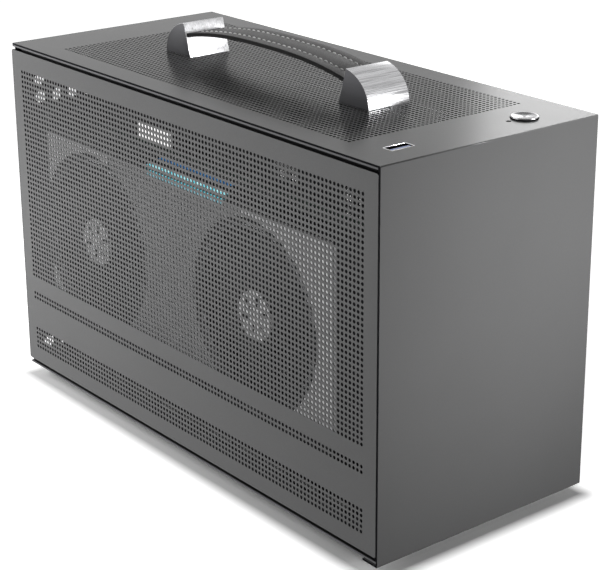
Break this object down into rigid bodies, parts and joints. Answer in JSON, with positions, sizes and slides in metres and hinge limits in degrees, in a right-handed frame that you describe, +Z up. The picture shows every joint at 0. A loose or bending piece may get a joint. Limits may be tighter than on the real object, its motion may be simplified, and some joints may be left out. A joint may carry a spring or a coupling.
{
  "type": "computer case",
  "caption": "Small upright computer case of folded sheet with perforated sides and top, a leather carrying handle, a round power button and a graphics card behind the near side.",
  "frame": {"origin": "middle of the bounding box's underside, on the surface that the feet stand on", "axes": "+X towards the plain front, -Y towards the perforated side that the picture shows, +Z up"},
  "size_m": [0.361, 0.1564, 0.2505],
  "materials": {
    "frame_sheet": "satin",
    "panel_paint": "fine satin",
    "cover_paint": "fine satin",
    "bright_steel": "bright",
    "black_plastic": "matte",
    "brushed_blocks": "brushed",
    "rubber": "matte",
    "fan_plastic": "matte",
    "circuit_board": "matte",
    "dark_plate": "matte",
    "strap_leather": "fine grain",
    "brass": "satin",
    "light_guide": "gloss",
    "blue_plastic": "gloss",
    "shroud_silver": "satin",
    "fins": "raw",
    "lit_strip": "lit",
    "bracket_steel": "satin",
    "button_metal": "turned"
  },
  "bodies": {
    "chassis": {"outer_cover": "cover_paint", "base_plate": "frame_sheet", "top_frame": "frame_sheet", "rear_panel": "frame_sheet", "front_panel": "frame_sheet", "tray": "frame_sheet", "tray_front": "frame_sheet", "standoffs": "brass", "psu_bracket": "frame_sheet", "power_inlet": "black_plastic", "panel_clips": "black_plastic", "handle_block_front": "brushed_blocks", "handle_block_rear": "brushed_blocks", "handle_strap": "strap_leather", "handle_screws": "bright_steel", "button_housing": "black_plastic", "status_light": "light_guide", "usb_shell": "bright_steel", "usb_tongue": "blue_plastic", "io_board": "circuit_board", "foot_front_near": "rubber", "foot_front_far": "rubber", "foot_rear_near": "rubber", "foot_rear_far": "rubber", "foot_screws": "bright_steel", "card_shroud": "shroud_silver", "card_shroud_walls": "shroud_silver", "card_fan_mounts": "fan_plastic", "card_heatsink": "fins", "card_fins": "fins", "card_board": "circuit_board", "card_backplate": "dark_plate", "card_light_bar": "lit_strip", "card_bracket": "bracket_steel", "card_screws": "bright_steel", "riser_socket": "black_plastic"},
    "near_panel": {"side_panel_near": "panel_paint", "studs_near": "bright_steel"},
    "far_panel": {"side_panel_far": "panel_paint", "studs_far": "bright_steel"},
    "button": {"power_button": "button_metal"},
    "front_fan": {"card_fan_front": "fan_plastic"},
    "rear_fan": {"card_fan_rear": "fan_plastic"}
  },
  "joints": [
    {"name": "near_panel_pull", "type": "slide", "parent": "chassis", "child": "near_panel", "axis": [0, -1, 0], "range_m": [0, 0.04]},
    {"name": "far_panel_pull", "type": "slide", "parent": "chassis", "child": "far_panel", "axis": [0, 1, 0], "range_m": [0, 0.04]},
    {"name": "button_press", "type": "slide", "parent": "chassis", "child": "button", "axis": [0, 0, -1], "range_m": [0, 0.001], "stiffness_N_per_m": 1200, "springref_m": -0.0005},
    {"name": "front_fan_spin", "type": "hinge", "parent": "chassis", "child": "front_fan", "pos_m": [0.0623, -0.062, 0.11265], "axis": [0, -1, 0], "continuous": true},
    {"name": "rear_fan_spin", "type": "hinge", "parent": "chassis", "child": "rear_fan", "pos_m": [-0.1033, -0.062, 0.11265], "axis": [0, -1, 0], "continuous": true}
  ]
}
